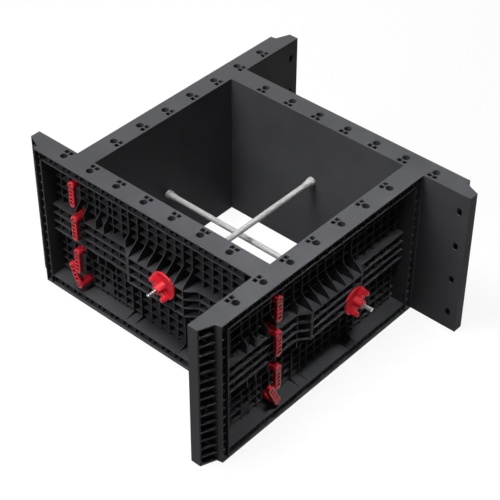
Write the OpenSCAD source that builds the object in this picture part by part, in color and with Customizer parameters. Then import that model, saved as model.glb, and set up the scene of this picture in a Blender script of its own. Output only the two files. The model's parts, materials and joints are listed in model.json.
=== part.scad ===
// Column formwork: four equal ribbed plastic panels set in a pinwheel round a
// rectangular column, locked at the corners by quarter-turn handles and held
// against the concrete by two tie rods with flanged wing nuts.
// Origin: centre of the column at floor level.  +Z is up.

/* [Column] */
// Clear column size along X
column_x = 800; // [760:5:860]
// Clear column size along Y
column_y = 700; // [660:5:740]

/* [Panel] */
// Length of one panel
panel_len = 1080; // [1060:5:1120]
// Height of one panel
panel_h = 606; // [560:1:660]
// Overall thickness, casting face to outer rim
panel_t = 84; // [82:1:90]
// Thickness of the casting skin
skin_t = 4; // [3:0.5:6]
// Thickness of the ribs
rib_t = 4; // [3:0.5:6]
// Thickness of the rim walls
rim_wall = 5; // [4:0.5:7]
// Horizontal rib bays over the height
bays_z = 16; // [16:1:16]
// Spacing of the upright ribs
rib_pitch = 43; // [40:0.5:46]
// Level of the small grid above the casting face
grid_level = 24; // [20:1:30]
// Level of the long middle beam above the casting face
beam_level = 51; // [46:1:58]
// Level of the tie plateau above the casting face
pad_level = 82; // [76:1:83]
// Run of the ramps from the beam up to the plateau
ramp_run = 52; // [40:1:58]
// Thickness of the plateau's end rib
pad_end_t = 9; // [5:0.5:12]
// How far the beam's cross webs lie under its long ribs
web_drop = 9; // [4:0.5:12]
// How far the webs in the box rims lie under the outer face
box_drop = 11; // [8:0.5:16]
// How far the inner walls of the top and bottom rims lie under the outer face
wall_drop = 5; // [3:0.5:8]
// Level of the upright braces that carry on as fins
brace_level = 31; // [26:1:40]
// Rise of a fin along its brace
fin_rise = 14; // [10:1:20]
// Distance of the plateau's centre from the butt end
pad_centre = 442; // [430:1:450]
// Height over which the comb ribs run down to the grid
comb_run = 72; // [55:1:80]
// Width of the box rim at the butt end
butt_box = 39; // [36:0.5:42]

/* [Free end] */
// Depth of the flat end face
end_face = 40; // [36:1:46]
// Length of the ribbed bevel
bevel_len = 56; // [50:1:62]
// Level at which the bevel meets the step
bevel_level = 62; // [58:1:68]
// Run of the step from the bevel up to the rim
step_run = 5; // [4:0.5:10]
// Wall on each side of the step's edge
step_wall = 3; // [2.5:0.5:5]
// Width of the box rim beside the step
free_box = 33; // [30:0.5:42]

/* [Flange holes] */
// Diameter of the round flange holes
hole_d = 28; // [22:0.5:30]
// Spacing of the flange holes
hole_pitch = 129; // [126:0.5:132]
// Distance of the first flange hole from the butt end
first_hole = 134; // [130:1:138]
// Number of flange holes
hole_count = 7; // [6:1:7]
// Side of the small square holes
peg_w = 16; // [12:0.5:17]
// Centre distance of the two square holes
peg_spacing = 21; // [20:0.5:24]
// Distance of the square holes from the casting face
peg_inset = 17; // [14:0.5:18]
// Half width of the rim pocket at each flange hole
hole_bay = 20; // [18:0.5:22]

/* [Key slots] */
// Width of a key slot
slot_w = 20; // [18:0.5:22]
// Height of a key slot
slot_h = 32; // [30:0.5:33]
// Distance of the end slot column from the free end
slot_inset = 38; // [34:0.5:42]
// Half distance of the two ribs beside a slot column
slot_rib = 20; // [19:0.5:22]
// Least room between those ribs and the next upright rib
rib_room = 12; // [8:1:16]
// Radius of the chamber behind a butt-end slot
chamber_r = 18; // [17:0.5:20]

/* [Handle] */
// Diameter of the handle barrel
barrel_d = 30; // [26:0.5:32]
// Diameter of the open mouth of the barrel
mouth_d = 15; // [12:0.5:18]
// Depth of the open mouth of the barrel
mouth_depth = 22; // [14:1:30]
// Width of the lever
lever_w = 26; // [22:0.5:27]
// Thickness of the lever
lever_t = 16; // [12:0.5:20]
// Reach of the lever from its axis
lever_reach = 95; // [85:1:97]
// Number of pockets in the lever
lever_pockets = 4; // [3:1:5]
// Wall round the lever pockets
lever_wall = 4; // [3:0.5:5]
// Tilt of the bottom handle from straight up
low_tilt = 24; // [23:0.5:26]
// Diameter of the key shaft
shaft_d = 13; // [10:0.5:15]
// Length of the key bar
key_len = 30; // [26:0.5:31]
// Width of the key bar
key_w = 10; // [8:0.5:12]
// Thickness of the key bar
key_t = 8; // [6:0.5:10]
// Play between the key bar and the wall that it grips
key_play = 0.3; // [0.2:0.1:0.6]

/* [Ties] */
// Height offset of each tie from the panel's middle
tie_offset = 33; // [31:0.5:34]
// Diameter of the tie rod
rod_d = 15; // [14:0.5:16]
// How far a tie rod stands out past the rim
rod_out = 76; // [68:1:92]
// Diameter of the tie hole in a panel
tie_hole_d = 18; // [17:0.5:19]
// Outer diameter of the sleeve moulded round a tie hole
sleeve_d = 28; // [25:0.5:30]
// Outer diameter of the spacer tube
tube_d = 22; // [21:0.5:24]
// Wall of the spacer tube
tube_wall = 2.2; // [1.8:0.1:2.4]
// Length of an end cone
cone_len = 40; // [34:1:46]
// Diameter of an end cone at the casting face
cone_d = 34; // [31:0.5:37]
// Length of the cone's wide collar
collar_len = 14; // [10:1:18]
// Depth of the tube's seat in the cone
tube_seat = 18; // [12:1:20]

/* [Wing nut] */
// Diameter of the nut's disc
disc_d = 109; // [98:1:120]
// Thickness of the nut's disc
disc_t = 6; // [4:0.5:9]
// Height of the raised lip round the disc
lip_h = 2.5; // [1.5:0.5:4]
// Diameter of the nut's hub
hub_d = 34; // [30:1:38]
// Height of the hub over the disc
hub_h = 35; // [28:1:40]
// Height of the wings over the disc
wing_h = 36; // [30:1:42]
// Reach of the wings from the axis
wing_reach = 50; // [46:1:52]
// Thickness of a wing
wing_t = 12; // [9:0.5:15]
// Radius of a wing's rounded ear
ear_r = 10; // [8:0.5:11]
// Radial clearance of the nut on the rod
nut_play = 0.3; // [0.2:0.05:0.4]

/* [Hidden] */
PANELS = ["a", "b", "c", "d"];
$fn = 48;

plastic_black = [0.13, 0.13, 0.14];
plastic_red = [0.86, 0.09, 0.14];
plastic_grey = [0.80, 0.80, 0.79];
steel = [0.72, 0.73, 0.74];

bay_z = panel_h / bays_z;
mid_z = panel_h / 2;
far = 2 * panel_t;                       // well past the outer face
slot_z = [for (k = [2, 6, 10, 14]) k * bay_z];
rib_z = [for (k = [1:bays_z - 2]) (k + 0.5) * bay_z];
beam_z = [for (k = [-1.5, -0.5, 0.5, 1.5]) mid_z + k * bay_z];
beam_half = 1.5 * bay_z + rib_t / 2;
step_x = panel_len - bevel_len - step_run;
field = [butt_box, step_x - free_box];   // clear field between the box rims
flange_z = [bay_z + rim_wall / 2, panel_h - bay_z - rim_wall / 2];
pad_half = 3 * rib_pitch;
low_rows = concat([flange_z[0] - rib_t / 2], [for (z = rib_z) if (z < beam_z[0] + 1) z]);
high_rows = concat([for (z = rib_z) if (z > beam_z[3] - 1) z], [flange_z[1] + rib_t / 2]);

// slot columns used by a butting panel: one for each column side
side_columns = [column_y + panel_t / 2, column_x + panel_t / 2];
grid_x = [for (k = [-9:12]) pad_centre + k * rib_pitch];
column_gap = slot_rib + rib_room;        // grid ribs closer than this give way
end_room = 2 * rib_t;                    // least room between a rib and a box rim
web_x = [for (x = grid_x) if (x > field[0] + end_room && x < field[1] - end_room) x];
rib_x = concat(
    [for (x = web_x) if (x < side_columns[0] - column_gap) x],
    [side_columns[0] - slot_rib, side_columns[0] + slot_rib],
    [for (x = web_x) if (x > side_columns[0] + column_gap && x < side_columns[1] - column_gap) x],
    [side_columns[1] - slot_rib, side_columns[1] + slot_rib],
    [for (x = web_x) if (x > side_columns[1] + column_gap) x]
);

// extrudes a shape drawn as (along the panel, up) outward from level a to b
module outward(a, b) rotate([90, 0, 0]) translate([0, 0, -b]) linear_extrude(b - a) children();

// extrudes a shape drawn as (outward, up) along the panel, t thick about x
module across(x, t) translate([x - t / 2, 0, 0]) rotate([90, 0, 90]) linear_extrude(t) children();

// half-cosine from 0 to 1, for the soft ramps
function ease(u) = (1 - cos(180 * u)) / 2;

// ---- one panel, drawn with its casting face on y = 0 and its butt end at x = 0

// plan of the whole panel
module panel_plan() polygon([
    [0, 0], [panel_len, 0], [panel_len, end_face],
    [panel_len - bevel_len, bevel_level], [step_x, panel_t], [0, panel_t]
]);

// plan of the beam and its plateau, with soft ramps between them
module beam_plan(drop) {
    low = beam_level - drop;
    high = pad_level - drop;
    steps = 6;
    left = pad_centre - pad_half - ramp_run;
    right = pad_centre + pad_half;
    polygon(concat(
        [[field[0] - 1, skin_t], [field[0] - 1, low]],
        [for (i = [0:steps]) [left + ramp_run * i / steps, low + (high - low) * ease(i / steps)]],
        [for (i = [0:steps]) [right + ramp_run * i / steps, high - (high - low) * ease(i / steps)]],
        [[field[1] + 1, low], [field[1] + 1, skin_t]]
    ));
}

// long ribs of the middle beam with their lower cross webs
module beam() {
    translate([0, 0, mid_z - beam_half]) linear_extrude(2 * beam_half) beam_plan(web_drop);
    for (z = beam_z) translate([0, 0, z - rib_t / 2]) linear_extrude(rib_t) beam_plan(0);
}

// pockets of the grid: one window between each pair of ribs, among the heights zs
module grid_windows(ribs, zs) {
    xs = concat([field[0] - rib_t / 2], ribs, [field[1] + rib_t / 2]);
    for (i = [0:len(xs) - 2], j = [0:len(zs) - 2])
        if (!is_slot_pad((xs[i] + xs[i + 1]) / 2, (zs[j] + zs[j + 1]) / 2))
            translate([xs[i] + rib_t / 2, zs[j] + rib_t / 2])
                square([xs[i + 1] - xs[i] - rib_t, zs[j + 1] - zs[j] - rib_t]);
}

// the cells at a slot column's key heights stay solid, as seats for the handles
function is_slot_pad(x, z) =
    len([for (c = side_columns, s = slot_z) if (abs(x - c) < 1 && abs(z - s) < 1) 1]) > 0;

// web lines of the top and bottom box rims, in two widths of bay
rim_webs = [
    for (i = [-1:hole_count], d = [-1, 1], w = [hole_bay, hole_pitch / 2 - hole_bay])
        first_hole + i * hole_pitch + d * w
];
function sorted(v) = len(v) < 2 ? v : let (p = v[0]) concat(
    sorted([for (i = [1:len(v) - 1]) if (v[i] < p) v[i]]), [p],
    sorted([for (i = [1:len(v) - 1]) if (v[i] >= p) v[i]]));
flange_xs = concat(
    [field[0] - rib_t / 2],
    sorted([for (x = rim_webs) if (x > field[0] + end_room && x < field[1] - end_room) x]),
    [field[1] + rib_t / 2]
);

// pockets of the top and bottom box rims
module flange_windows() {
    h = bay_z - 1.5 * rim_wall;
    for (z = [rim_wall, panel_h - rim_wall - h], i = [0:len(flange_xs) - 2])
        translate([flange_xs[i] + rib_t / 2, z])
            square([flange_xs[i + 1] - flange_xs[i] - rib_t, h]);
}

// open mouth of all the box rims' pockets, above their webs
module rim_mouths() {
    inner = [butt_box - rim_wall, field[1] + rim_wall];
    h = bay_z - 1.5 * rim_wall;
    for (z = [rim_wall, panel_h - rim_wall - h])
        translate([field[0] - rib_t, z]) square([field[1] - field[0] + 2 * rib_t, h]);
    for (x = [[rim_wall, inner[0]], [inner[1], step_x - step_wall]])
        translate([x[0], rim_wall]) square([x[1] - x[0], panel_h - 2 * rim_wall]);
}

// strips over the inner walls of the top and bottom box rims
module wall_strips() for (side = [0, 1]) translate([0, side * panel_h]) mirror([0, side])
    translate([field[0], rim_wall]) square([field[1] - field[0], bay_z]);

// pockets of a standing box rim between x0 and x1, with a mitre rib in each corner
module end_windows(x0, x1, mitre) {
    w = x1 - x0;
    for (k = [1:bays_z - 2])
        translate([x0, k * bay_z + rib_t / 2]) square([w, bay_z - rib_t]);
    h = bay_z - 1.5 * rim_wall;
    for (top = [0, 1])
        translate([x0, top * panel_h]) mirror([0, top]) difference() {
            translate([0, rim_wall]) square([w, h]);
            if (mitre) polygon([[0, rim_wall + h], [0, rim_wall + h - rib_t], [w - rib_t, rim_wall],
                [w, rim_wall], [w, rim_wall + rib_t], [rib_t, rim_wall + h]]);
        }
}

// keyed slot seen from the casting face
module slot_shape(x, z) translate([x, z]) {
    square([slot_w, slot_h - slot_w], center = true);
    for (d = [-1, 1]) translate([0, d * (slot_h - slot_w) / 2]) circle(d = slot_w);
}

// thick rib that closes the plateau at the head of its longer ramp
module plateau_end() translate([pad_centre + pad_half, skin_t, mid_z - beam_half])
    cube([pad_end_t, pad_level - skin_t, 2 * beam_half]);

// upright comb rib: one soft curve from the plateau's level down to the grid, no
// higher than top, that starts at height from
module comb_rib(x, top, from) {
    steps = 8;
    edge = mid_z + beam_half;
    function level(u) = min(top, pad_level - (pad_level - grid_level) * ease(u));
    for (side = [0, 1]) translate([0, 0, side * panel_h]) mirror([0, 0, side])
        across(x, rib_t) polygon(concat(
            [[skin_t, from], [top, from]],
            [for (i = [0:steps]) [level(i / steps), edge + comb_run * i / steps]],
            [[skin_t, edge + comb_run]]
        ));
}

// upright brace between the beam and a flange, which it meets as a fin
module brace(x) for (side = [0, 1]) translate([0, 0, side * panel_h]) mirror([0, 0, side])
    across(x, rib_t) polygon([
        [skin_t, flange_z[0]], [panel_t - box_drop, flange_z[0]], [panel_t - box_drop, flange_z[0] + 1],
        [brace_level, flange_z[0] + fin_rise], [brace_level, mid_z - beam_half + 1],
        [skin_t, mid_z - beam_half + 1]
    ]);

// one moulded panel: column is the slot column in use, tie the place of its tie
module panel(column, tie) {
    inner = [butt_box - rim_wall, field[1] + rim_wall];
    edge = mid_z + beam_half - rib_t;
    color(plastic_black) difference() {
        union() {
            difference() {
                union() {
                    difference() {
                        linear_extrude(panel_h) panel_plan();
                        translate([field[0], grid_level, flange_z[0]])
                            cube([field[1] - field[0], far, flange_z[1] - flange_z[0]]);
                    }
                    beam();
                }
                outward(skin_t, far) {
                    for (zs = [low_rows, high_rows]) grid_windows(rib_x, zs);
                    grid_windows(web_x, beam_z);
                    flange_windows();
                    end_windows(rim_wall, inner[0], false);
                    end_windows(inner[1], step_x - step_wall, true);
                }
                outward(panel_t - box_drop, far) rim_mouths();
                outward(panel_t - wall_drop, far) wall_strips();
                bevel_windows();
            }
            for (k = [-1:2]) comb_rib(pad_centre + k * rib_pitch, pad_level, edge);
            for (k = [-3, -2, 3]) comb_rib(pad_centre + k * rib_pitch, pad_level, mid_z);
            plateau_end();
            comb_rib(pad_centre + 4 * rib_pitch, beam_level, mid_z);
            for (c = side_columns, d = [-1, 1]) comb_rib(c + d * slot_rib, beam_level, edge);
            for (k = [-3, -2, 3, 4]) brace(pad_centre + k * rib_pitch);
            outward(skin_t / 2, pad_level - web_drop) translate(tie) circle(d = sleeve_d);
        }
        outward(-1, far) translate(tie) circle(d = tie_hole_d);
        flange_holes();
        for (z = slot_z) {
            outward(-1, grid_level + 1) slot_shape(column, z);
            outward(-1, end_face) slot_shape(panel_len - slot_inset, z);
            butt_slot(z);
        }
    }
}

// pockets of the bevel at the free end, which cut a little into the step
module bevel_windows() {
    x0 = step_x + step_wall;
    w = panel_len - rim_wall - x0;
    outward(skin_t, far) for (k = [0:bays_z - 1])
        translate([x0, k * bay_z + (k == 0 ? rim_wall : rib_t / 2)])
            square([w, bay_z - (k == 0 || k == bays_z - 1 ? rim_wall + rib_t / 2 : rib_t)]);
}

// round and square holes through the top and bottom flanges
module flange_holes() for (i = [0:hole_count - 1], side = [0, 1])
    translate([first_hole + i * hole_pitch, 0, side * panel_h]) mirror([0, 0, side]) {
        translate([0, panel_t / 2, -1]) cylinder(d = hole_d, h = rim_wall + 2);
        for (d = [-1, 1])
            translate([d * peg_spacing / 2 - peg_w / 2, peg_inset - peg_w / 2, -1])
                cube([peg_w, peg_w, rim_wall + 2]);
    }

// slot in the butt end with a round chamber behind it, where the key bar turns
module butt_slot(z) translate([0, panel_t / 2, z]) {
    rotate([90, 0, 90]) translate([0, 0, -1]) linear_extrude(rim_wall + 2) slot_shape(0, 0);
    rotate([0, 90, 0]) translate([0, 0, rim_wall])
        cylinder(r = chamber_r, h = butt_box - 2 * rim_wall);
}

// ---- handle, drawn on its own axis: +Y is outward, the lever hangs down

module handle() color(plastic_red) {
    difference() {
        union() {
            outward(grid_level, pad_level) circle(d = barrel_d);
            outward(pad_level - lever_t, pad_level) lever_outline();
        }
        outward(pad_level - mouth_depth, far) circle(d = mouth_d);
        outward(pad_level - lever_t + lever_wall, far) lever_windows();
    }
    key_face = -rim_wall - key_play;
    outward(key_face - key_t / 2, grid_level + 1) circle(d = shaft_d);
    outward(key_face - key_t, key_face) square([key_len, key_w], center = true);
}

// outline of the lever: a bar with a round tip
module lever_outline() {
    tip = lever_reach - lever_w / 2;
    translate([-lever_w / 2, -tip]) square([lever_w, tip]);
    translate([0, -tip]) circle(d = lever_w);
}

// pockets along the lever
module lever_windows() {
    top = -barrel_d / 2 - 1;
    pitch = (lever_reach - lever_w / 2 + top) / lever_pockets;
    for (i = [1:lever_pockets])
        translate([-lever_w / 2 + lever_wall, top - i * pitch])
            square([lever_w - 2 * lever_wall, pitch - lever_wall]);
}

// ---- ties, drawn along +X from the centre of the column

module tie_rod(side) color(steel) {
    half = side / 2 + panel_t + rod_out;
    chamfer = 1.5;
    rotate([0, 90, 0]) rotate_extrude() polygon([
        [0, -half], [rod_d / 2 - chamfer, -half], [rod_d / 2, -half + chamfer],
        [rod_d / 2, half - chamfer], [rod_d / 2 - chamfer, half], [0, half]
    ]);
}

module spacer_tube(side) color(plastic_grey) {
    half = side / 2 - cone_len + tube_seat;
    rotate([0, 90, 0]) translate([0, 0, -half]) difference() {
        cylinder(d = tube_d, h = 2 * half);
        translate([0, 0, -1]) cylinder(d = tube_d - 2 * tube_wall, h = 2 * half + 2);
    }
}

// end cone: wide ribbed collar on the casting face, taper towards the tube
module end_cone(side) color(plastic_grey) translate([side / 2, 0, 0]) rotate([0, -90, 0]) {
    seat = tube_d / 2 + 0.15;
    bore = tube_d / 2 - tube_wall;
    mouth = seat + 1.6;
    difference() {
        rotate_extrude() polygon([
            [bore, 0], [cone_d / 2 - 1, 0], [cone_d / 2, 1], [cone_d / 2, collar_len],
            [cone_d / 2 - 2, collar_len + 1], [mouth, cone_len], [seat, cone_len],
            [seat, cone_len - tube_seat], [bore, cone_len - tube_seat]
        ]);
        for (a = [0:45:315]) rotate(a) translate([cone_d / 2 + 1, 0, 3])
            cylinder(d = 5, h = collar_len + 3);
    }
}

// ---- flanged wing nut, drawn on +X with its seat on x = 0

module wing_nut() color(plastic_red) rotate([90, 0, 90]) {
    difference() {
        union() {
            rotate_extrude() nut_profile();
            for (a = [0, 180]) rotate(a) wing();
        }
        translate([0, 0, -1]) cylinder(d = rod_d + 2 * nut_play, h = disc_t + hub_h + 2);
    }
}

// half section of the disc with its lip and of the hub, which has a small draft
module nut_profile() {
    r = disc_d / 2;
    hub_r = hub_d / 2;
    draft = 1.5;
    polygon([
        [0, 0], [r - lip_h / 2, 0], [r, lip_h / 2], [r, disc_t + lip_h / 2],
        [r - lip_h / 2, disc_t + lip_h], [r - 1.5 * lip_h, disc_t + lip_h], [r - 2.5 * lip_h, disc_t],
        [hub_r + 2 * draft, disc_t], [hub_r, disc_t + 2 * draft], [hub_r - draft, disc_t + hub_h - draft],
        [hub_r - 2 * draft, disc_t + hub_h], [0, disc_t + hub_h]
    ]);
}

// one upright wing: a low web out from the hub that ends in a tall round ear
module wing() {
    root = hub_d / 2 - rib_t;
    ear_x = wing_reach - ear_r;
    ear_z = disc_t + wing_h - ear_r;
    saddle = wing_h / 2;
    translate([0, wing_t / 2, 0]) rotate([90, 0, 0]) linear_extrude(wing_t) {
        translate([root, disc_t - 1]) square([ear_x - root, saddle]);
        translate([ear_x - ear_r, disc_t - 1]) square([2 * ear_r, ear_z - disc_t + 1]);
        translate([ear_x, ear_z]) circle(r = ear_r);
    }
}

// ---- placing: panel p stands on its side of the column

turn_of = [-90, 180, 90, 0];
nut_turn = [50, 127, 30, 75];            // how far each wing nut happens to be turned
function side_of(p) = p % 2 == 0 ? column_x : column_y;     // clear size across the panel
function width_of(p) = p % 2 == 0 ? column_y : column_x;    // clear size along the panel
function tie_z(p) = mid_z + (p % 2 == 0 ? -tie_offset : tie_offset);

// moves a shape drawn in panel coordinates to the side of panel p
module on_side(p) rotate(turn_of[p]) translate([-width_of(p) / 2, side_of(p) / 2, 0]) children();

// moves a shape drawn along +X from the column's centre onto the tie of panel p
module on_tie(p) translate([0, 0, tie_z(p)]) rotate(turn_of[p] + 90) children();

for (p = [0:3]) {
    column = width_of(p) + panel_t / 2;
    on_side(p) panel(column, [width_of(p) / 2, tie_z(p)]);
    for (i = [1:4])
        on_side(p) translate([column, 0, slot_z[4 - i]])
                rotate([0, i == 4 ? 180 + low_tilt : 0, 0]) handle();
    on_tie(p) translate([side_of(p) / 2 + pad_level, 0, 0]) rotate([nut_turn[p], 0, 0]) wing_nut();
    on_tie(p) end_cone(side_of(p));
}
on_tie(0) tie_rod(column_x);  // tie_rod_x
on_tie(1) tie_rod(column_y);  // tie_rod_y
on_tie(0) spacer_tube(column_x);  // spacer_tube_x
on_tie(1) spacer_tube(column_y);  // spacer_tube_y
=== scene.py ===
# %% [markdown]
# # Column formwork, dressed
# Four ribbed plastic panels stand in a pinwheel round a rectangular column. Red quarter-turn
# handles lock the corners, and two steel ties with flanged red wing nuts hold the concrete's
# pressure. This lesson loads the measured model as a fixed frame, then gives each surface its
# finish and adds the closer shapes that only the eye needs, such as the thread on the ties.

# %% Load the measured frame
import json
from math import cos, degrees, pi, radians, sin

import bmesh
import bpy
from mathutils import Matrix, Vector


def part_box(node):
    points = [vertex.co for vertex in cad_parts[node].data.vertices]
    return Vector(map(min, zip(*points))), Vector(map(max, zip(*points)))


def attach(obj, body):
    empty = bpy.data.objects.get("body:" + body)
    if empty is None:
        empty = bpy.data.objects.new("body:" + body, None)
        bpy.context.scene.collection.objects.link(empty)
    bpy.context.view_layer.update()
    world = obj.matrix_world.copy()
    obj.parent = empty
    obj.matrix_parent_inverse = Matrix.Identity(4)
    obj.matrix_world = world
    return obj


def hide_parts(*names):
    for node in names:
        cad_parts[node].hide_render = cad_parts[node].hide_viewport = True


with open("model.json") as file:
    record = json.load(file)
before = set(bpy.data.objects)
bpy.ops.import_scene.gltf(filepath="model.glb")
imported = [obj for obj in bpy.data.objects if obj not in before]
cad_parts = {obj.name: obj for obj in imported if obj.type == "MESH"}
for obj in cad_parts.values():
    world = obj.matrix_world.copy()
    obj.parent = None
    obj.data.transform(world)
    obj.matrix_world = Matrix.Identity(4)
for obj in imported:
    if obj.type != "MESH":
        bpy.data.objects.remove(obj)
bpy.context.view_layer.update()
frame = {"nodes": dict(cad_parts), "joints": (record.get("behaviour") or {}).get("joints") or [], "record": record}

MM = 0.001

# %% [markdown]
# ## Where things are
# Every position below comes from the frame. Each panel has a letter, and the direction in which
# its ribbed back faces says how its handles, nut and cone are turned. Positions could be typed in
# as numbers, but then they would be wrong as soon as the model changed.

# %% Directions and node names
UP = Vector((0, 0, 1))
AXIS_Y = Vector((0, 1, 0))
AXIS_Z = Vector((0, 0, 1))
OUTWARD = {"a": Vector((1, 0, 0)), "b": Vector((0, -1, 0)), "c": Vector((-1, 0, 0)), "d": Vector((0, 1, 0))}

joint_at = {joint["child"]: Vector(joint["pos_m"]) for joint in frame["joints"]}


def named(start):
    return sorted(name for name in frame["nodes"] if name.startswith(start))


print("panels:", named("panel_"), "handles:", len(named("handle_")))

# %% [markdown]
# ## Camera
# The object is seen from above one corner, through a long lens, so the panels' long edges stay
# nearly parallel. The camera could be dragged into place by eye. Here it is placed by its height
# and its angle round the object, so that each can be corrected alone, and then it is rolled by a
# fraction of a degree to level the picture.

# %% Place the camera
AIM = Vector((0.0681, -0.0698, 0.303))
AZIMUTH, ELEVATION, ROLL = 41.46, 40.00, -0.33
DISTANCE = 5.274
LENS, SENSOR_WIDTH = 108.0, 36

camera = bpy.data.objects.new("camera", bpy.data.cameras.new("camera"))
bpy.context.scene.collection.objects.link(camera)
across, rise = radians(AZIMUTH), radians(ELEVATION)
back = Vector((sin(across) * cos(rise), -cos(across) * cos(rise), sin(rise)))
camera.location = AIM + back * DISTANCE
camera.rotation_mode = "QUATERNION"
facing = (-back).to_track_quat("-Z", "Y")
camera.rotation_quaternion = Matrix.Rotation(radians(-ROLL), 3, back).to_quaternion() @ facing
camera.data.lens = LENS
camera.data.sensor_width = SENSOR_WIDTH
bpy.context.scene.camera = camera
print("camera at", [round(c, 3) for c in camera.location])

# %% [markdown]
# ## Wiring shader nodes
# Materials below are small graphs of nodes. Nodes can be added and linked one line at a time, but
# that hides what matters. One helper adds a node, sets its fields, and takes either a number or
# another node's socket for each input, so a material reads as a list of decisions.

# %% A helper that adds and wires a node
def node(tree, kind, inputs=None, **settings):
    made = tree.nodes.new(kind)
    for key, value in settings.items():
        setattr(made, key, value)
    for key, value in (inputs or {}).items():
        if isinstance(value, bpy.types.NodeSocket):
            tree.links.new(value, made.inputs[key])
        else:
            made.inputs[key].default_value = value
    return made


def blank_material(name):
    material = bpy.data.materials.new(name)
    material.use_nodes = True
    material.node_tree.nodes.clear()
    return material, material.node_tree


def grey(value):
    return (value, value, value, 1)


def mixed_colour(tree, share, first, second):
    return node(tree, "ShaderNodeMix", {0: share, 6: first, 7: second}, data_type="RGBA").outputs[2]


print("node helpers ready")

# %% [markdown]
# ## Studio floor
# A plain white floor. A bright lit floor would throw its light up into the ribs and flatten them,
# so the floor is pale only to the camera and dark to the light that bounces. Rays that come from
# the camera, or by a reflection, also see a soft white glow: the background is white without more
# light on the object, and the floor keeps the object's shadow.

# %% Floor
FLOOR_HALF = 30
FLOOR_SEEN, FLOOR_BOUNCE = 0.90, 0.05
FLOOR_GLOW, GLOW_STRENGTH = 0.80, 1.08


def seen_directly(tree):
    path = node(tree, "ShaderNodeLightPath").outputs
    seen = path["Is Camera Ray"]
    for kind in ("Is Glossy Ray", "Is Transmission Ray"):
        seen = node(tree, "ShaderNodeMath", {0: seen, 1: path[kind]}, operation="MAXIMUM").outputs[0]
    return seen


floor_mesh = bpy.data.meshes.new("floor")
floor_form = bmesh.new()
bmesh.ops.create_grid(floor_form, x_segments=1, y_segments=1, size=FLOOR_HALF)
floor_form.to_mesh(floor_mesh)
floor_form.free()
floor = bpy.data.objects.new("floor", floor_mesh)
bpy.context.scene.collection.objects.link(floor)

floor_material, tree = blank_material("studio_floor")
camera_ray = node(tree, "ShaderNodeLightPath").outputs["Is Camera Ray"]
paint = mixed_colour(tree, camera_ray, grey(FLOOR_BOUNCE), grey(FLOOR_SEEN))
matt = node(tree, "ShaderNodeBsdfDiffuse", {"Color": paint})
glow = node(tree, "ShaderNodeEmission", {"Color": grey(1), "Strength": GLOW_STRENGTH})
share = node(tree, "ShaderNodeMath", {0: seen_directly(tree), 1: FLOOR_GLOW}, operation="MULTIPLY")
blend = node(tree, "ShaderNodeMixShader", {0: share.outputs[0], 1: matt.outputs[0], 2: glow.outputs[0]})
node(tree, "ShaderNodeOutputMaterial", {"Surface": blend.outputs[0]})
floor.data.materials.append(floor_material)
print("floor glow", FLOOR_GLOW)

# %% [markdown]
# ## Surround
# The surround is white to the camera and nearly dark to the object, for the same reason: the soft
# contrast between the ribs' edges and their depths comes from the lamps alone.

# %% Surround and view settings
AMBIENT = 0.03

world = bpy.data.worlds.new("surround")
world.use_nodes = True
tree = world.node_tree
tree.nodes.clear()
ambient = node(tree, "ShaderNodeBackground", {"Color": grey(1), "Strength": AMBIENT})
white = node(tree, "ShaderNodeBackground", {"Color": grey(1), "Strength": 1.0})
camera_ray = node(tree, "ShaderNodeLightPath").outputs["Is Camera Ray"]
blend = node(tree, "ShaderNodeMixShader", {0: camera_ray, 1: ambient.outputs[0], 2: white.outputs[0]})
node(tree, "ShaderNodeOutputWorld", {"Surface": blend.outputs[0]})
bpy.context.scene.world = world
bpy.context.scene.view_settings.view_transform = "Standard"
print("ambient light", AMBIENT)

# %% [markdown]
# ## Lamps
# A broad lamp overhead lights the flanges, as an open sky would on a site, and stands a little to
# the left, so the column's left inner face stays dark. A narrow one, as with a grid on a softbox,
# reaches down into the right-hand back from steeply above, where it catches the handles and the
# shelves but hardly the ribs' fronts. A low one on the left shows the ribs of the near back, and
# one behind keeps the two far backs readable.

# %% Set the lamps
def softbox(name, place, target, size, strength, spread=180):
    lamp = bpy.data.lights.new(name, "AREA")
    lamp.shape = "SQUARE"
    lamp.size = size
    lamp.energy = strength
    lamp.spread = radians(spread)
    holder = bpy.data.objects.new(name, lamp)
    holder.location = place
    holder.rotation_mode = "QUATERNION"
    holder.rotation_quaternion = (Vector(target) - Vector(place)).to_track_quat("-Z", "Y")
    bpy.context.scene.collection.objects.link(holder)
    return holder


COLUMN_MIDDLE = (0, 0, 0.3)
softbox("overhead", (-0.5, -0.9, 4.5), COLUMN_MIDDLE, 1.6, 140)
softbox("zenith", (1.55, -0.4, 4.5), (0.62, -0.15, 0.3), 0.8, 2.7, 30)
softbox("side", (-1.3, -3.8, 3.0), COLUMN_MIDDLE, 2.0, 55)
softbox("rear", (-3.2, 3.4, 1.9), COLUMN_MIDDLE, 2.0, 50)

# %% [markdown]
# ## What the plastics share
# A moulded edge is never sharp. Every edge could be modelled round, but the panels have thousands of
# ribs. Instead a bevelled normal rounds the edges in the light, and its difference from the true
# normal marks them for a paler colour: a painted highlight along the edges. Noise on Object
# coordinates sits still on each piece, so a finish doesn't slide when it moves.

# %% Edge finder, noise and two-colour ramp
FLAT, TURNED = 1.0, 0.75


def edge_mask(tree, radius):
    rounded = node(tree, "ShaderNodeBevel", {"Radius": radius}, samples=6)
    plain = node(tree, "ShaderNodeNewGeometry")
    likeness = node(tree, "ShaderNodeVectorMath", {0: rounded.outputs[0], 1: plain.outputs["Normal"]},
                    operation="DOT_PRODUCT")
    mask = node(tree, "ShaderNodeMapRange", {0: likeness.outputs["Value"], 1: FLAT, 2: TURNED})
    return mask.outputs[0], rounded.outputs[0]


def noise(tree, scale, detail=2.0):
    place = node(tree, "ShaderNodeTexCoord").outputs["Object"]
    made = node(tree, "ShaderNodeTexNoise", {"Vector": place, "Scale": scale, "Detail": detail})
    return made.outputs["Fac"]


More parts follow.
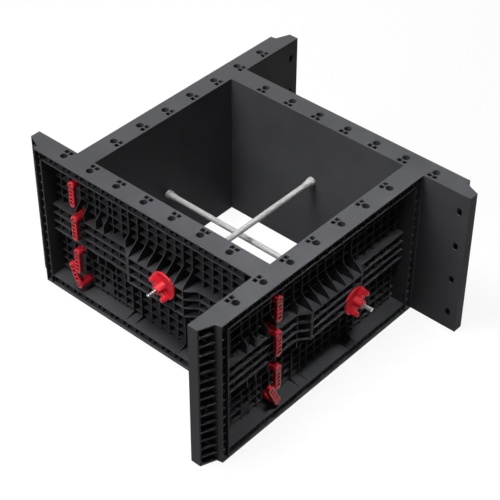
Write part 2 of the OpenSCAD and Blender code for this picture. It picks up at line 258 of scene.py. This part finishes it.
def ramp(tree, value, low, high, colour_low, colour_high):
    amount = node(tree, "ShaderNodeMapRange", {0: value, 1: low, 2: high})
    return mixed_colour(tree, amount.outputs[0], colour_low, colour_high)


print("finish helpers ready")

# %% [markdown]
# ## Moulded plastic
# The panels are injection-moulded in one shot: a fine spark-eroded grain on every face, a painted
# highlight that makes the edges paler, and faint clouding from release oil. The handles and nuts
# are glossier red nylon, and the spacers plain grey. One recipe with different numbers serves all
# three: broad noise for the clouding and the gloss, finer noise to break up the painted edge
# highlight, and the finest as a shallow bump for the grain.

# %% The plastics
# The second scale is the finer noise that breaks up the painted edge highlight.
CLOUD_SCALE, HIGHLIGHT_NOISE_SCALE = 7.0, 60.0
GRAIN_STRENGTH = 0.35
GLOSSIER, DULLER = 0.06, 0.08


def moulded_plastic(name, colour, edge_highlight, clouded, roughness, shine, grain_scale, grain_depth, edge):
    material, tree = blank_material(name)
    edges, rounded = edge_mask(tree, edge)
    cloud = noise(tree, CLOUD_SCALE, 4.0)
    body = ramp(tree, cloud, 0.35, 0.70, colour, clouded)
    # Painted highlight: the edges are mixed towards the paler edge colour, broken up by the finer noise.
    painted_highlight = node(tree, "ShaderNodeMath", {0: edges, 1: noise(tree, HIGHLIGHT_NOISE_SCALE, 3.0)}, operation="MULTIPLY")
    paint = mixed_colour(tree, painted_highlight.outputs[0], body, edge_highlight)
    gloss = node(tree, "ShaderNodeMapRange",
                 {0: cloud, 1: 0.3, 2: 0.7, 3: roughness - GLOSSIER, 4: roughness + DULLER})
    bump = node(tree, "ShaderNodeBump", {"Strength": GRAIN_STRENGTH, "Distance": grain_depth,
                                         "Height": noise(tree, grain_scale), "Normal": rounded})
    shader = node(tree, "ShaderNodeBsdfPrincipled",
                  {"Base Color": paint, "Roughness": gloss.outputs[0], "Normal": bump.outputs[0],
                   "Specular IOR Level": shine})
    node(tree, "ShaderNodeOutputMaterial", {"Surface": shader.outputs[0]})
    return material


# The second, paler colour of each plastic is the painted highlight along its edges.
black_plastic = moulded_plastic(
    "black_panel_plastic", colour=(0.082, 0.083, 0.090, 1), edge_highlight=(0.125, 0.126, 0.134, 1),
    clouded=(0.100, 0.101, 0.110, 1), roughness=0.52, shine=0.09,
    grain_scale=900, grain_depth=0.0002, edge=0.0006)
red_plastic = moulded_plastic(
    "red_handle_plastic", colour=(0.90, 0.024, 0.044, 1), edge_highlight=(0.98, 0.18, 0.22, 1),
    clouded=(0.94, 0.032, 0.056, 1), roughness=0.34, shine=0.5,
    grain_scale=1200, grain_depth=0.0001, edge=0.0015)
grey_plastic = moulded_plastic(
    "grey_spacer_plastic", colour=(0.58, 0.58, 0.575, 1), edge_highlight=(0.68, 0.68, 0.67, 1),
    clouded=(0.63, 0.63, 0.62, 1), roughness=0.42, shine=0.4,
    grain_scale=700, grain_depth=0.0001, edge=0.0008)
print("plastics:", [black_plastic.name, red_plastic.name, grey_plastic.name])

# %% [markdown]
# ## Zinc-plated steel
# The ties are hot-rolled bar with a dull zinc coat: metal, mottled by the coat's fine spangle,
# which also makes its shine uneven. One noise drives both, because they are the same crystals.

# %% The ties' steel
SPANGLE_SCALE = 160.0


def plated_steel(name):
    material, tree = blank_material(name)
    rounded = edge_mask(tree, 0.0006)[1]
    spangle = noise(tree, SPANGLE_SCALE, 3.0)
    coat = ramp(tree, spangle, 0.3, 0.7, (0.56, 0.57, 0.58, 1), (0.72, 0.72, 0.73, 1))
    shine = node(tree, "ShaderNodeMapRange", {0: spangle, 1: 0.3, 2: 0.7, 3: 0.28, 4: 0.42})
    shader = node(tree, "ShaderNodeBsdfPrincipled",
                  {"Base Color": coat, "Metallic": 0.9, "Roughness": shine.outputs[0], "Normal": rounded})
    node(tree, "ShaderNodeOutputMaterial", {"Surface": shader.outputs[0]})
    return material


steel = plated_steel("zinc_plated_steel")
print("steel:", steel.name)

# %% [markdown]
# ## Dressing the measured nodes
# The panels and the spacer tubes already have their true shape, so they keep their meshes and
# only take a finish. The handles, nuts, ties and cones are dressed too, and are then replaced
# below by closer shapes in the same finish.

# %% Dress every node
def dress(node_name, material):
    piece = frame["nodes"][node_name]
    piece.data.materials.clear()
    piece.data.materials.append(material)


FINISHES = [("panel_", black_plastic, "panel_plastic"), ("handle_", red_plastic, "handle_plastic"),
            ("wing_nut_", red_plastic, "nut_plastic"), ("cone_", grey_plastic, "spacer_plastic"),
            ("spacer_tube_", grey_plastic, "spacer_plastic"), ("tie_rod_", steel, "tie_steel")]
for start, material, slot_name in FINISHES:
    for name in named(start):
        dress(name, material)
    print("dressed", start, len(named(start)))

# %% [markdown]
# ## Shaping helpers
# New pieces are drawn in millimetres on their own axes, because a drawing reads that way, and
# moved to their place at the end, with the move kept in the mesh. Round parts are an outline spun
# about an axis, as on a lathe. Edges that a mould would round get a real bevel.

# %% Mesh helpers
SMOOTH_ANGLE = 38
MERGE = 1e-6


def mm(*numbers):
    return Vector(numbers) * MM


def round_edges(form, edges, radius, segments=2):
    bmesh.ops.bevel(form, geom=edges, offset=radius * MM, offset_type="OFFSET", segments=segments,
                    profile=0.5, affect="EDGES", clamp_overlap=True, material=-1)


def turned(form, profile, axis, steps=40, centre=(0, 0, 0)):
    """Spins (radius, height) pairs in mm about an axis, and closes the ends that meet it."""
    side = Vector((1, 0, 0)) if abs(axis.x) < 0.5 else AXIS_Z
    points = [form.verts.new(Vector(centre) + side * r * MM + axis * h * MM) for r, h in profile]
    edges = [form.edges.new(pair) for pair in zip(points, points[1:])]
    bmesh.ops.spin(form, geom=points + edges, cent=Vector(centre), axis=axis, dvec=(0, 0, 0),
                   angle=2 * pi, steps=steps, use_merge=True)
    bmesh.ops.remove_doubles(form, verts=form.verts, dist=MERGE)


def pulled_up(form, faces, move):
    """Pulls a copy of the faces up by a vector, so that they become a closed plate."""
    grown = bmesh.ops.extrude_face_region(form, geom=faces, use_keep_orig=True)
    moved = [item for item in grown["geom"] if isinstance(item, bmesh.types.BMVert)]
    bmesh.ops.translate(form, vec=move, verts=moved)
    return moved


def axes(along, out, up, origin):
    move = Matrix((along, out, up)).transposed().to_4x4()
    move.translation = origin
    return move


def shown(form, name, body, material):
    mesh = bpy.data.meshes.new(name)
    form.to_mesh(mesh)
    form.free()
    mesh.shade_smooth()
    mesh.set_sharp_from_angle(angle=radians(SMOOTH_ANGLE))
    piece = bpy.data.objects.new(name, mesh)
    bpy.context.scene.collection.objects.link(piece)
    piece.data.materials.append(material)
    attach(piece, body)
    return piece


def finished(form, name, body, material, node_name, move):
    bmesh.ops.transform(form, matrix=move, verts=form.verts)
    bmesh.ops.recalc_face_normals(form, faces=form.faces)
    piece = shown(form, name, body, material)
    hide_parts(node_name)
    return piece


print("shaping helpers ready")

# %% [markdown]
# ## The quarter-turn handles: lever
# A handle is one nylon moulding: a barrel, a flat lever with a row of cored-out pockets that keep
# its walls even, and a key on a shaft that turns behind the neighbour's end wall. The lever starts
# as one flat outline, is cut along the lines of its pocket walls, and is pulled up to its
# thickness. The pockets could be cut out with booleans. Sinking the cut faces by insets is
# cleaner, and gives the walls the draft that lets a mould open.

# %% Lever sizes and its cut outline
LEVER_W, LEVER_T, LEVER_REACH, LEVER_WALL, POCKETS = 26.0, 16.0, 95.0, 4.0, 4
BARREL_R, MOUTH_R, MOUTH_DEPTH = 15.0, 7.5, 22.0
SEAT_LEVEL, TOP_LEVEL = 24.0, 82.0
LEVER_TIP = LEVER_REACH - LEVER_W / 2
FIRST_WALL = BARREL_R + 1
POCKET_PITCH = (LEVER_TIP - FIRST_WALL) / POCKETS
END_STEPS = 12


def cut_across(form, place, direction, down_to=None):
    faces = [face for face in form.faces if down_to is None or face.calc_center_median().z > -down_to * MM]
    edges = {edge for face in faces for edge in face.edges}
    verts = {vert for face in faces for vert in face.verts}
    bmesh.ops.bisect_plane(form, geom=list(verts) + list(edges) + faces, dist=1e-7,
                           plane_co=place, plane_no=direction)


def lever_outline(form):
    level = TOP_LEVEL - LEVER_T
    half = LEVER_W / 2
    swing = [pi * k / END_STEPS for k in range(END_STEPS + 1)]
    outline = [(-half, 0)] + [(-cos(t) * half, -LEVER_TIP - sin(t) * half) for t in swing] + [(half, 0)]
    form.faces.new([form.verts.new(mm(x, level, z)) for x, z in outline])
    walls = [FIRST_WALL + i * POCKET_PITCH for i in range(POCKETS)]
    for depth in sorted(walls + [wall + LEVER_WALL for wall in walls] + [LEVER_TIP]):
        cut_across(form, mm(0, 0, -depth), (0, 0, 1))
    for side in (-1, 1):
        cut_across(form, mm(side * (half - LEVER_WALL), 0, 0), (1, 0, 0), down_to=LEVER_TIP)


trial = bmesh.new()
lever_outline(trial)
print("lever cut into", len(trial.faces), "faces, pocket pitch", POCKET_PITCH)
trial.free()

# %% [markdown]
# ## The quarter-turn handles: pockets, barrel and key
# Three insets sink each pocket: a flat one leaves the rim, a short one rounds it over, and a deep
# one, slightly tapered, makes the drafted walls. The barrel is turned and flares towards its seat,
# where it bears on the panel, and a small hole cores it from the outside.

# %% Shape one handle
EDGE_ROUND = 1.6
SHARP_FROM = 40
CLOSE = 1e-5
POCKET_STEPS = [(0.5, 0.0), (0.3, 0.6), (0.7, LEVER_T - LEVER_WALL)]
SHAFT_R, SHAFT_END = 6.5, -14
KEY_SIZE, KEY_MIDDLE = (30, 8, 10), -9.3


def faces_at(form, places):
    return [face for face in form.faces
            if any((face.calc_center_median() - place).length < CLOSE for place in places)]


def sink_pockets(form):
    pulled_up(form, list(form.faces), mm(0, LEVER_T, 0))
    bmesh.ops.recalc_face_normals(form, faces=form.faces)
    rim = [edge for edge in form.edges if edge.is_manifold and degrees(edge.calc_face_angle(0)) > SHARP_FROM
           and edge.calc_length() > 1 * MM]
    round_edges(form, rim, EDGE_ROUND, 3)
    middle = LEVER_WALL + (POCKET_PITCH - LEVER_WALL) / 2
    places = [mm(0, TOP_LEVEL, -FIRST_WALL - i * POCKET_PITCH - middle) for i in range(POCKETS)]
    pockets = faces_at(form, places)
    for thickness, depth in POCKET_STEPS:
        bmesh.ops.inset_individual(form, faces=pockets, thickness=thickness * MM, depth=-depth * MM)
    return len(pockets)


def barrel(form):
    r, m, top, seat = BARREL_R, MOUTH_R, TOP_LEVEL, SEAT_LEVEL
    flare = [(0, seat), (r + 0.6, seat), (r + 1.8, seat + 0.6), (r + 2.4, seat + 2.4), (r + 2.2, seat + 10),
             (r + 1.2, seat + 26)]
    rim = [(r, top - 14), (r, top - 1.6), (r - 0.5, top - 0.5), (r - 1.6, top)]
    floor_at = top - MOUTH_DEPTH
    mouth = [(m + 1.2, top), (m + 0.3, top - 0.4), (m, top - 1.4),
             (m - 0.4, floor_at + 1), (m - 1.4, floor_at), (0, floor_at)]
    turned(form, flare + rim + mouth, AXIS_Y)


def key(form):
    seat = SEAT_LEVEL + 1
    turned(form, [(0, SHAFT_END), (SHAFT_R, SHAFT_END), (SHAFT_R, seat), (0, seat)], AXIS_Y, 28)
    bar = bmesh.ops.create_cube(form, size=1.0)["verts"]
    bmesh.ops.scale(form, vec=mm(*KEY_SIZE), verts=bar)
    bmesh.ops.translate(form, vec=mm(0, KEY_MIDDLE, 0), verts=bar)
    round_edges(form, list({edge for vert in bar for edge in vert.link_edges}), 1.0)


def handle_form():
    form = bmesh.new()
    lever_outline(form)
    sink_pockets(form)
    barrel(form)
    key(form)
    return form


trial = bmesh.new()
lever_outline(trial)
print("pockets sunk:", sink_pockets(trial))
trial.free()

# %% [markdown]
# ## Placing the handles
# Each panel has four. Three hang straight down, locked. The lowest has too little room to hang,
# so it stands up at a slant. Every handle is the same shape, turned about its own barrel, and it
# rides on its own body, so it turns with its joint.

# %% Place the sixteen handles
PER_PANEL = 4
LOW_TURN = 180 + 24

for letter, out in OUTWARD.items():
    along = out.cross(UP)
    for number in range(1, PER_PANEL + 1):
        name = f"handle_{letter}{number}"
        turn_by = radians(LOW_TURN) if number == PER_PANEL else 0.0
        origin = joint_at[name] - out * TOP_LEVEL * MM
        move = axes(along, out, UP, origin) @ Matrix.Rotation(turn_by, 4, AXIS_Y)
        finished(handle_form(), f"lever_{letter}{number}", name, red_plastic, name, move)

# %% [markdown]
# ## The flanged wing nuts
# Each nut is cast or moulded in one piece: a wide thin disc with a raised lip spreads the tie's
# pull over the plateau's ribs, a drafted hub holds the thread, and two ears take the hand or a
# bar. The round parts are one turned outline with filleted corners, and each wing is a flat
# outline pulled to its thickness and rounded all over.

# %% The disc and hub
DISC_R, DISC_T, LIP_H = 54.5, 6.0, 2.5
HUB_R, HUB_H, BORE_R = 17.0, 35.0, 7.8


def disc_and_hub(form):
    top = DISC_T + HUB_H
    lip = DISC_T + LIP_H
    edge = [(BORE_R, 0), (DISC_R - 1.4, 0), (DISC_R - 0.4, 0.4), (DISC_R, 1.4)]
    lip_round = [(DISC_R, lip - 1.4), (DISC_R - 0.4, lip - 0.4), (DISC_R - 1.4, lip), (DISC_R - 2.8, lip),
                 (DISC_R - 4.0, lip - 0.5), (DISC_R - 5.6, DISC_T + 0.4), (DISC_R - 7.0, DISC_T)]
    fillet = [(HUB_R + 4.5, DISC_T), (HUB_R + 2.2, DISC_T + 0.5), (HUB_R + 0.8, DISC_T + 2.0),
              (HUB_R, DISC_T + 4.5)]
    hub_end = [(HUB_R - 1.5, top - 2.5), (HUB_R - 2.0, top - 0.9), (HUB_R - 3.2, top),
               (BORE_R + 1.4, top), (BORE_R, top - 1.2), (BORE_R, 0)]
    turned(form, edge + lip_round + fillet + hub_end, AXIS_Z, 64)


trial = bmesh.new()
disc_and_hub(trial)
print("disc and hub:", len(trial.faces), "faces")
trial.free()

# %% The wings
WING_H, WING_REACH, WING_T, EAR_R = 36.0, 50.0, 12.0, 10.0
WING_ROUND = 2.2
WING_SHARP_FROM = 60
EAR_STEPS = 12


def wing(form, sign):
    ear_x, ear_z = WING_REACH - EAR_R, DISC_T + WING_H - EAR_R
    foot, root = DISC_T - 1, HUB_R - 4
    saddle = DISC_T + WING_H / 2 - 1
    swing = [pi * k / EAR_STEPS for k in range(EAR_STEPS + 1)]
    ear = [(ear_x + EAR_R * cos(t), ear_z + EAR_R * sin(t)) for t in swing]
    inner = ear_x - EAR_R
    dip = [(inner, saddle + 3), (inner - 1, saddle + 1), (inner - 3, saddle), (root, saddle)]
    outline = [(root, foot), (WING_REACH, foot)] + ear + dip
    start = [form.verts.new(mm(sign * x, -WING_T / 2, z)) for x, z in outline]
    moved = pulled_up(form, [form.faces.new(start)], mm(0, WING_T, 0))
    whole = set(start) | set(moved)
    rim = [edge for edge in form.edges if edge.verts[0] in whole and edge.verts[1] in whole
           and len(edge.link_faces) == 2 and degrees(edge.calc_face_angle(0)) > WING_SHARP_FROM]
    round_edges(form, rim, WING_ROUND, 3)


def nut_form():
    form = bmesh.new()
    disc_and_hub(form)
    for sign in (-1, 1):
        wing(form, sign)
    return form


print("wings reach", WING_REACH, "mm from the axis")

# %% Place the wing nuts
NUT_TURN = {"a": 50, "b": 127, "c": 30, "d": 75}

for letter, out in OUTWARD.items():
    name = f"wing_nut_{letter}"
    spin = radians(NUT_TURN[letter])
    first = UP.cross(out) * cos(spin) + UP * sin(spin)
    move = axes(first, out.cross(first), out, joint_at[name])
    finished(nut_form(), f"flanged_nut_{letter}", name, red_plastic, name, move)
print("wing nuts shaped:", len(OUTWARD))

# %% [markdown]
# ## Threaded ties
# A formwork tie is a hot-rolled bar with a coarse rounded thread over its whole length, so a nut
# can be spun on anywhere. A bump could fake it, but the bar's outline would stay straight. So one
# pitch of the thread's outline is swept round the bar while it moves forward, which is what a
# helix is, and two planes trim the ends square.

# %% Sweep the thread
PITCH, CORE_R, CREST_R = 10.0, 6.6, 7.5
THREAD = [(CORE_R, 0.0), (CORE_R, 0.38), (CREST_R, 0.56), (CREST_R, 0.80), (CORE_R, 1.0)]
STEPS_PER_TURN = 14


def threaded_bar(half):
    form = bmesh.new()
    turns = int(2 * half / PITCH) + 2
    start = -turns * PITCH / 2
    steps = STEPS_PER_TURN * turns
    forward = mm(0, 0, PITCH * turns / steps)
    points = [form.verts.new(mm(r, 0, start + share * PITCH)) for r, share in THREAD]
    edges = [form.edges.new(pair) for pair in zip(points, points[1:])]
    bmesh.ops.spin(form, geom=points + edges, cent=(0, 0, 0), axis=AXIS_Z, dvec=forward,
                   angle=2 * pi * turns, steps=steps, use_merge=False)
    bmesh.ops.remove_doubles(form, verts=form.verts, dist=1e-5)
    for sign in (-1, 1):
        everything = list(form.verts) + list(form.edges) + list(form.faces)
        cut = bmesh.ops.bisect_plane(form, geom=everything, dist=1e-7, plane_co=mm(0, 0, sign * half),
                                     plane_no=(0, 0, sign), clear_outer=True)
        loop = [item for item in cut["geom_cut"] if isinstance(item, bmesh.types.BMEdge)]
        bmesh.ops.contextual_create(form, geom=loop)
    return form


for name in named("tie_rod_"):
    low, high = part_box(name)
    size = high - low
    along = Vector((1, 0, 0)) if size.x > size.y else AXIS_Y
    move = axes(along.cross(UP), UP, along, (low + high) / 2)
    form = threaded_bar(max(size) / 2 / MM)
    finished(form, f"threaded_bar_{name[-1]}", "frame", steel, name, move)
    print(name, "threaded over", round(max(size), 3), "m")

# %% [markdown]
# ## The spacer cones
# A cone ends each spacer tube at the casting face. It leaves a tapered dimple in the concrete, and
# rings round its collar let the fingers pull it out afterwards. It is a turned part, so one
# outline is spun about the tie's axis, grooves and all.

# %% Turn the four cones
CONE_LEN, CONE_R, CONE_BORE, CONE_MOUTH = 40.0, 17.0, 8.8, 12.7
GROOVES, GROOVE_DIP = (2.8, 6.4, 10.0), 1.3
TUBE_SEAT_R, TUBE_SEAT = 11.15, 17


def cone_form():
    form = bmesh.new()
    r, end, neck = CONE_R, CONE_LEN, CONE_MOUTH + 0.6
    outline = [(CONE_BORE, 0), (r - 0.8, 0), (r, 0.8)]
    for start in GROOVES:
        dip = r - GROOVE_DIP
        outline += [(r, start - 0.4), (dip, start), (dip, start + 1.6), (r, start + 2.0)]
    taper = [(r, 13.4), (r - 0.8, 14.2), (r - 2.6, 15.0), (neck, end - 5), (neck, end - 1), (CONE_MOUTH, end)]
    seat_end = end - TUBE_SEAT
    seat = [(TUBE_SEAT_R, end), (TUBE_SEAT_R, seat_end), (CONE_BORE, seat_end - 1), (CONE_BORE, 0)]
    turned(form, outline + taper + seat, AXIS_Z, 44)
    return form


for letter, out in OUTWARD.items():
    name = f"cone_{letter}"
    low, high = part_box(name)
    face_at = (low + high) / 2 + out * abs((high - low).dot(out)) / 2
    side = UP.cross(out)
    move = axes(side, -out.cross(side), -out, face_at)
    finished(cone_form(), f"ringed_{name}", "frame", grey_plastic, name, move)
print("cones turned:", len(OUTWARD))

# %% [markdown]
# ## Collars under the flange holes
# Each round hole in the top and bottom flanges runs on into a short moulded collar, which guides
# a pin and stiffens the edge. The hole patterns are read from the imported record, two holes at a
# time, so each collar sits on its hole. One panel's collars are one piece.

# %% Hang the collars
COLLAR_IN, COLLAR_OUT, COLLAR_TOP, COLLAR_END, COLLAR_ROUND = 13.8, 16.0, -0.6, -26.0, 0.6
COLLAR_OUTLINE = [(COLLAR_IN, COLLAR_TOP), (COLLAR_OUT, COLLAR_TOP - 0.2),
                  (COLLAR_OUT, COLLAR_END + COLLAR_ROUND), (COLLAR_OUT - COLLAR_ROUND, COLLAR_END),
                  (COLLAR_IN + COLLAR_ROUND, COLLAR_END), (COLLAR_IN, COLLAR_END + COLLAR_ROUND),
                  (COLLAR_IN, COLLAR_TOP)]


def hole_centres(letter):
    found = {}
    for mount in frame["record"]["mounts"]:
        if f"flange_holes_{letter}_" not in mount["name"]:
            continue
        (key_name, gap), = [item for item in mount["dims"].items() if item[0].startswith("spacing")]
        along = Vector((1, 0, 0)) if "_x_" in key_name else AXIS_Y
        for sign in (-1, 1):
            spot = Vector(mount["pos_m"]) + along * sign * gap * MM / 2
            found[tuple(round(c, 4) for c in spot)] = Vector(mount["axis"])
    return found


for letter in OUTWARD:
    form = bmesh.new()
    spots = hole_centres(letter)
    for spot, face_axis in spots.items():
        turned(form, COLLAR_OUTLINE, face_axis, 32, spot)
    bmesh.ops.recalc_face_normals(form, faces=form.faces)
    shown(form, f"hole_collars_{letter}", "frame", black_plastic)
    print("collars", letter, len(spots))
